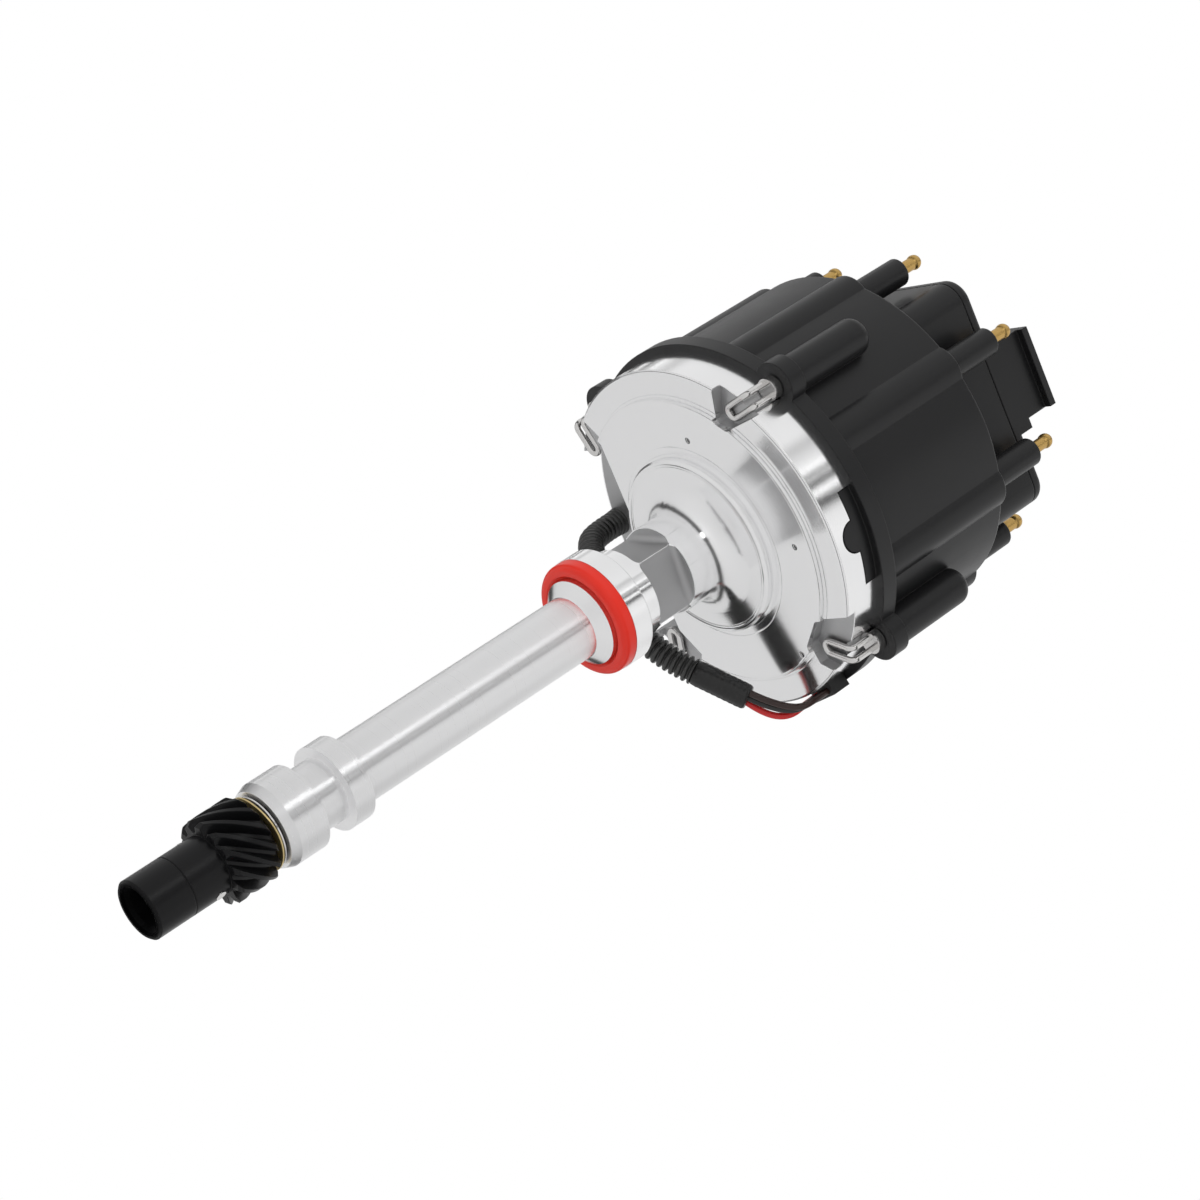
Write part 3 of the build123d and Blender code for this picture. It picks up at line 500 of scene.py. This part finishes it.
def tube(name, points, radii, sides=32):
    """A round tube along points, with a radius at each."""
    work = bmesh.new()
    rings = []
    turns = [2 * pi * k / sides for k in range(sides)]
    side = (points[1] - points[0]).orthogonal().normalized()
    for number, (point, radius) in enumerate(zip(points, radii)):
        ahead = points[min(number + 1, len(points) - 1)] - points[max(number - 1, 0)]
        ahead.normalize()
        side = (side - ahead * side.dot(ahead)).normalized()
        other = ahead.cross(side)
        rings.append([work.verts.new(point + (side * cos(turn) + other * sin(turn)) * radius)
                      for turn in turns])
    return skinned(name, work, rings, False, 60)


def wavy_ring(inner, outer, level, wave, half, sides=144):
    """A thin flat ring about the shaft's axis, with three waves in it."""
    work = bmesh.new()
    rings = []
    for radius, side in ((inner, -half), (outer, -half), (outer, half), (inner, half)):
        rings.append([work.verts.new((radius * cos(2 * pi * k / sides), radius * sin(2 * pi * k / sides),
                                      level + side + wave * sin(6 * pi * k / sides))) for k in range(sides)])
    return skinned("wavy_ring", work, rings, True, 40)


class DISTRIBUTOR_OT_aluminium(bpy.types.Operator):
    """Turned and polished aluminium housing with milled flats and pockets, and threads in its holes, which
    are darkened with painted shade
    """
    bl_idname = "distributor.aluminium"
    bl_label = "Aluminium housing"

    def execute(self, context):
        finish = context.scene.distributor_finish
        rough = finish.aluminium_rough
        uneven = 0.06
        barrel_matte = 0.15
        milled_matte = 0.32
        # Painted shade: a dark base colour inside the threaded holes
        painted_hole_shade = (0.05, 0.05, 0.05, 1.0)
        material, shade, shader = new_material("polished_aluminium", finish.aluminium, rough, 1.0)
        lines = shade.add("ShaderNodeGroup", node_tree=turned_group())
        shade.put(lines.inputs["Lines per metre"], 2600.0)
        radius, level = lines.outputs["Radius"], lines.outputs["Level"]
        barrel = shade.above(shade.maths("MULTIPLY", level, -1.0), -BARREL_TOP, 2.0 * MM)
        milled = milled_mask(shade, radius, level)
        hole_shade = hole_shade_mask(shade, level)
        streak = shade.between(lines.outputs["Height"], rough - uneven, rough + uneven)
        satin = shade.maths("ADD", streak, shade.maths("MULTIPLY", barrel, barrel_matte))
        matte = shade.maths("MULTIPLY", milled, milled_matte)
        shade.put(shader.inputs["Roughness"], shade.maths("ADD", satin, matte))
        base = shade.mix(milled, rgba(finish.aluminium), rgba(finish.milled))
        # Painted shade: the base colour is darkened inside the threaded holes
        shade.put(shader.inputs["Base Color"], shade.mix(hole_shade, base, painted_hole_shade))
        grain = shade.add("ShaderNodeGroup", node_tree=grain_group())
        shade.put(grain.inputs["Grains per metre"], 1500.0)
        turned = shade.maths("MULTIPLY", lines.outputs["Height"], shade.maths("SUBTRACT", 1.0, milled))
        blasted = shade.maths("MULTIPLY", grain.outputs["Height"], milled)
        height = turned_lines(shade, radius, level, shade.maths("ADD", turned, blasted))
        bump(shade, shader, height, FINISH_DEPTH, 0.15 * MM)
        shade.put(shader.inputs["Anisotropic"], 0.85)
        shade.put(shader.inputs["Anisotropic Rotation"], 0.25)
        round_axis = shade.add("ShaderNodeTangent", direction_type="RADIAL", axis="Z")
        shade.put(shader.inputs["Tangent"], round_axis.outputs[0])
        dress(material, "housing")
        thread = grained("bright_thread", finish.thread, 0.2, 0.003 * MM, edge=0.1 * MM, metal=1.0)
        for number, (out, azimuth) in enumerate(THREADED_HOLES):
            x, y = out * cos(radians(azimuth)), out * sin(radians(azimuth))
            turns = []
            for k in range(THREAD_POINTS):
                angle = 2 * pi * k / POINTS_PER_TURN
                rise = DISC_LEVEL + 0.35 * MM + THREAD_PITCH * k / POINTS_PER_TURN
                turns.append(Vector((x + THREAD_RADIUS * cos(angle), y + THREAD_RADIUS * sin(angle), rise)))
            name = f"thread_{number + 1}"
            new_piece(name, tube(name, turns, [THREAD_WIRE] * THREAD_POINTS, 8), thread,
                      NODES["housing"]["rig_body"])
        return {"FINISHED"}


class DISTRIBUTOR_OT_plastics(bpy.types.Operator):
    """Moulded cap, cover and rotor, and the rubber pieces"""
    bl_idname = "distributor.plastics"
    bl_label = "Plastic and rubber"

    def execute(self, context):
        finish = context.scene.distributor_finish
        black = grained("black_plastic", finish.plastic, finish.plastic_rough, 0.01 * MM, edge=0.7 * MM,
                        Specular_IOR_Level=0.31)
        dress(black, "cap", "coil_cover", "ignition_module", "pickup_coil", "ignition_coil", "rotor")
        rubber = grained("black_rubber", finish.rubber, 0.55, 0.01 * MM)
        dress(rubber, "coil_seal", "grommet")
        red = grained("red_rubber", finish.seal, 0.30, 0.005 * MM, Specular_IOR_Level=0.3)
        dress(red, "flange_seal")
        dress(grained("carbon", finish.carbon, 0.6, 0.01 * MM), "carbon_button")
        return {"FINISHED"}


class DISTRIBUTOR_OT_metals(bpy.types.Operator):
    """Steel, brass and bronze pieces, a near-black ring as painted shadow in the gap beside the washer, and
    the black gear with a painted reflection in its tip
    """
    bl_idname = "distributor.metals"
    bl_label = "Small metal pieces"

    def execute(self, context):
        finish = context.scene.distributor_finish
        bright = small_metal("spring_steel", finish.spring_steel, 0.17)
        dress(bright, "latch_1", "latch_2", "latch_3", "latch_4", "latch_springs", "button_spring",
              "gear_pin", "thrust_washer", "weight_pins")
        plated = small_metal("plated_steel", finish.plated_steel, 0.32)
        dress(plated, "pickup_base", "pole_piece", "module_screws", "capacitor", "coil_screws",
              "cover_screws", "weight_base", "rotor_screws", "advance_weight_1", "advance_weight_2")
        dark = small_metal("dark_steel", finish.dark_steel, 0.35)
        dress(dark, "ring_magnet", "coil_core", "main_shaft", "advance_cam", "timer_core")
        brass = small_metal("brass", finish.brass, 0.34)
        dress(brass, "cap_terminals", "rotor_blade")
        pale = small_metal("pale_brass", finish.pale_brass, 0.42)
        thin_rings = (("gear_shim", "wavy_shim", pale, "brass", 0.5),
                      ("thrust_washer", "thin_washer", bright, "spring_steel", 0.0))
        for node, name, metal, slot, share in thin_rings:
            low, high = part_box(node)
            wave = share * (high.z - low.z - 2 * RING_HALF)
            ring = wavy_ring(RING_BORE, high.x, (low.z + high.z) / 2, wave, RING_HALF)
            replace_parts(new_piece(name, ring, metal, NODES[node]["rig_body"]), node)
        low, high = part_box("thrust_washer")
        # Painted shadow: a near-black ring fills the gap beside the thin washer, where there is only shade
        gap_shadow_material = grained("oily_steel", finish.oily_steel, 0.3, 0.005 * MM)
        painted_shadow_mesh = wavy_ring(RING_BORE, high.x - SHADOW_RING_INSET, (low.z + high.z) / 2, 0.0,
                            (high.z - low.z) / 2)
        new_piece("oiled_packing", painted_shadow_mesh, gap_shadow_material, NODES["thrust_washer"]["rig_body"])
        dress(small_metal("bronze", finish.bronze, 0.4), "lower_bushing", "upper_bushing")
        gear = grained("black_oxide", finish.gear, 0.30, 0.01 * MM, 2000.0, Specular_IOR_Level=0.22)
        shade = Shade(gear.node_tree)
        place = shade.add("ShaderNodeGroup", node_tree=turned_group()).outputs
        # Painted reflection: the base colour is lighter inside the gear's hollow tip
        mouth = shade.maths("MULTIPLY", shade.maths("LESS_THAN", place["Radius"], MOUTH_RADIUS),
                            shade.maths("LESS_THAN", place["Level"], MOUTH_LEVEL))
        shade.put(gear.node_tree.nodes["Principled BSDF"].inputs["Base Color"],
                  shade.mix(mouth, rgba(finish.gear), rgba(finish.gear_mouth_sheen)))
        dress(gear, "drive_gear")
        return {"FINISHED"}


class DISTRIBUTOR_OT_harness(bpy.types.Operator):
    """Ridged loom with its boot, heat-shrink sleeve and the three leads"""
    bl_idname = "distributor.harness"
    bl_label = "Harness"

    def execute(self, context):
        finish = context.scene.distributor_finish
        harness = context.scene.distributor_harness
        plastic = grained("loom_plastic", finish.loom, 0.32, 0.005 * MM, Specular_IOR_Level=0.7)
        ridge = (0.8, 1.0, 1.0, 0.8, 0.0, 0.0)
        rise = harness.loom_radius - harness.loom_root
        centre = evenly(followed(LOOM_ROUTE), harness.loom_pitch / len(ridge))
        radii = [harness.loom_root + rise * ridge[k % len(ridge)] for k in range(len(centre))]
        loom = new_piece("loom_ridged", tube("loom_ridged", centre, radii), plastic,
                         NODES["loom"]["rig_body"])
        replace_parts(loom, "loom")

        sleeve = evenly([SLEEVE_START, SLEEVE_END], 0.7 * MM)
        shrunk = []
        for number in range(len(sleeve)):
            from_end = min(number, len(sleeve) - 1 - number)
            rounding = max(0, 3 - from_end) ** 2 * 0.06 * MM
            ripple = 0.07 * MM * sin(number * 1.9)
            shrunk.append(harness.sleeve_radius - rounding + ripple)
        shrink = grained("heat_shrink", finish.heat_shrink, 0.30, 0.2 * MM, 330.0, Specular_IOR_Level=0.45)
        cover = new_piece("heat_shrink_sleeve", tube("heat_shrink_sleeve", sleeve, shrunk), shrink,
                          NODES["heat_shrink"]["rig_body"])
        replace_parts(cover, "heat_shrink")

        low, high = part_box("harness_plug")
        top = Vector((LOOM_ROUTE[0][0], LOOM_ROUTE[0][1], high.z))
        foot = Vector((top.x, top.y, low.z - 0.9 * MM))
        boot_line = evenly([top, foot], 0.45 * MM)
        boot_radii = [harness.boot_radius - harness.boot_taper * number / (len(boot_line) - 1)
                      - harness.boot_groove * (number % 4 == 2) for number in range(len(boot_line))]
        boot = new_piece("loom_boot", tube("loom_boot", boot_line, boot_radii), plastic,
                         NODES["harness_plug"]["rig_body"])
        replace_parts(boot, "harness_plug")

        for name, (route, reach) in LEADS.items():
            curve = spline(name + "_curve", route, harness.lead_radius)
            curve.use_fill_caps = True
            insulation = grained(LEAD_SLOTS[name], getattr(finish, name), 0.3, 0.003 * MM, 1500.0, 0.1 * MM)
            lead = new_piece(name + "_curve", curve, insulation, NODES[name]["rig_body"])
            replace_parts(lead, name)
        return {"FINISHED"}


def add_camera(context, lens):
    """The camera at the photograph's viewing angle."""
    data = bpy.data.cameras.new("Camera")
    data.lens = lens
    data.sensor_width = 36.0
    data.clip_start = 0.01
    camera = bpy.data.objects.new("Camera", data)
    turn = Matrix((CAMERA_RIGHT, CAMERA_UP, -CAMERA_AHEAD)).transposed().to_4x4()
    camera.matrix_world = Matrix.Translation(CAMERA_PLACE) @ turn
    context.scene.collection.objects.link(camera)
    context.scene.camera = camera


def add_floor(context):
    """A pale floor just under the object, seen from above only."""
    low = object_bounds()[0][2] - FLOOR_GAP
    mesh = bpy.data.meshes.new("floor")
    mesh.from_pydata([(-FLOOR_HALF, -FLOOR_HALF, low), (FLOOR_HALF, -FLOOR_HALF, low),
                      (FLOOR_HALF, FLOOR_HALF, low), (-FLOOR_HALF, FLOOR_HALF, low)], [], [(0, 1, 2, 3)])
    floor = bpy.data.objects.new("floor", mesh)
    context.scene.collection.objects.link(floor)
    pale = bpy.data.materials.new("floor_pale")
    pale.use_nodes = True
    shade = Shade(pale.node_tree)
    shade.tree.nodes.clear()
    diffuse = shade.add("ShaderNodeBsdfDiffuse", {"Color": FLOOR_TONE})
    clear = shade.add("ShaderNodeBsdfTransparent")
    behind = shade.add("ShaderNodeNewGeometry").outputs["Backfacing"]
    shadow = shade.add("ShaderNodeLightPath").outputs["Is Shadow Ray"]
    away = shade.maths("MAXIMUM", behind, shadow)
    mixed = shade.add("ShaderNodeMixShader", {0: away, 1: diffuse.outputs[0], 2: clear.outputs[0]})
    shade.add("ShaderNodeOutputMaterial", {"Surface": mixed.outputs[0]})
    mesh.materials.append(pale)
    floor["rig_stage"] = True


def add_world(context):
    """White round the object; the metal mirrors bands across the picture and a dark horizon."""
    world = bpy.data.worlds.new("Studio")
    world.use_nodes = True
    context.scene.world = world
    shade = Shade(world.node_tree)
    shade.tree.nodes.clear()
    path = shade.add("ShaderNodeLightPath").outputs
    direction = shade.add("ShaderNodeTexCoord").outputs["Generated"]
    rise = shade.add("ShaderNodeVectorMath", {0: direction, 1: tuple(CAMERA_UP)}, operation="DOT_PRODUCT")
    spread = shade.add("ShaderNodeMapRange", {"Value": rise.outputs["Value"], "From Min": -1.0})
    ramp = shade.add("ShaderNodeValToRGB", {"Fac": spread.outputs["Result"]})
    band = ramp.color_ramp
    while len(band.elements) < len(STUDIO_BANDS):
        band.elements.new(0.5)
    for element, (position, value) in zip(band.elements, STUDIO_BANDS):
        element.position = position
        element.color = (value, value, value, 1.0)
    height = shade.add("ShaderNodeSeparateXYZ", {0: direction}).outputs["Z"]
    from_horizon = shade.maths("ABSOLUTE", shade.maths("SUBTRACT", height, HORIZON_LEVEL))
    clear = shade.above(from_horizon, HORIZON_HALF, HORIZON_SOFT)
    mirrored = shade.mix(clear, HORIZON_TONE, ramp.outputs["Color"])
    lit = shade.mix(path["Is Glossy Ray"], DIFFUSE_TONE, mirrored)
    seen = shade.maths("MAXIMUM", path["Is Camera Ray"], path["Is Transmission Ray"])
    background = shade.add("ShaderNodeBackground", {"Color": shade.mix(seen, lit, WHITE), "Strength": 1.0})
    shade.add("ShaderNodeOutputWorld", {"Surface": background.outputs[0]})


def add_lamps(context, key_power, fill_power):
    """Soft lamps that aren't mirrored, and a small one that is."""
    lamps = {
        "key": (CAMERA_UP * 1.1 - CAMERA_AHEAD * 0.45 + CAMERA_RIGHT * 0.1, 1.5, key_power),
        "fill_left": (-CAMERA_RIGHT * 0.9 - CAMERA_AHEAD * 0.9 + CAMERA_UP * 0.2, 1.0, fill_power),
        "fill_right": (CAMERA_RIGHT * 1.0 - CAMERA_AHEAD * 0.3 + CAMERA_UP * 0.1, 0.9, fill_power),
        "back_top": (Vector((0.3, 0.5, 1.1)), 0.9, fill_power),
        "sparkle": (CAMERA_RIGHT * 0.5 - CAMERA_AHEAD * 0.9 + CAMERA_UP * 0.7, 0.25, 0.3 * fill_power),
    }
    for name, (offset, size, strength) in lamps.items():
        reach = 1.0 if name == "sparkle" else LAMP_REACH
        light = bpy.data.lights.new(name, "AREA")
        light.size = size * reach
        light.energy = strength * reach ** 2
        lamp = bpy.data.objects.new(name, light)
        lamp.location = offset * reach
        lamp.visible_glossy = name == "sparkle"
        lamp.rotation_euler = (-lamp.location).to_track_quat("-Z", "Y").to_euler()
        context.scene.collection.objects.link(lamp)


class DISTRIBUTOR_OT_stage(bpy.types.Operator):
    """White studio, soft lights and the camera"""
    bl_idname = "distributor.stage"
    bl_label = "Studio"

    def execute(self, context):
        stage = context.scene.distributor_stage
        add_camera(context, stage.lens)
        add_floor(context)
        add_world(context)
        add_lamps(context, stage.key_power, stage.fill_power)
        context.scene.view_settings.view_transform = "Standard"
        return {"FINISHED"}


class DISTRIBUTOR_PT_panel(bpy.types.Panel):
    """Sizes, colours and steps of the distributor"""
    bl_idname = "DISTRIBUTOR_PT_panel"
    bl_label = "Ignition distributor"
    bl_space_type = "VIEW_3D"
    bl_region_type = "UI"
    bl_category = "Distributor"

    def draw(self, context):
        layout = self.layout
        for name in GROUPS:
            group = getattr(context.scene, name)
            for label in group.__annotations__:
                layout.prop(group, label)
        for step in STEPS:
            layout.operator(step.bl_idname)


GROUPS = {"distributor_finish": DistributorFinish, "distributor_harness": DistributorHarness,
          "distributor_stage": DistributorStage}
STEPS = (DISTRIBUTOR_OT_aluminium, DISTRIBUTOR_OT_plastics, DISTRIBUTOR_OT_metals, DISTRIBUTOR_OT_harness,
         DISTRIBUTOR_OT_stage)
CLASSES = (*GROUPS.values(), *STEPS, DISTRIBUTOR_PT_panel)


def register():
    """Adds the classes and the scene's properties."""
    for item in CLASSES:
        bpy.utils.register_class(item)
    for name, kind in GROUPS.items():
        setattr(bpy.types.Scene, name, PointerProperty(type=kind))


def unregister():
    """Takes them away again."""
    for name in GROUPS:
        delattr(bpy.types.Scene, name)
    for item in reversed(CLASSES):
        bpy.utils.unregister_class(item)


def main():
    """Dresses the model and builds the studio."""
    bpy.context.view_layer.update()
    register()
    for step in STEPS:
        group, operator = step.bl_idname.split(".")
        getattr(getattr(bpy.ops, group), operator)()


if __name__ == "__main__":
    main()
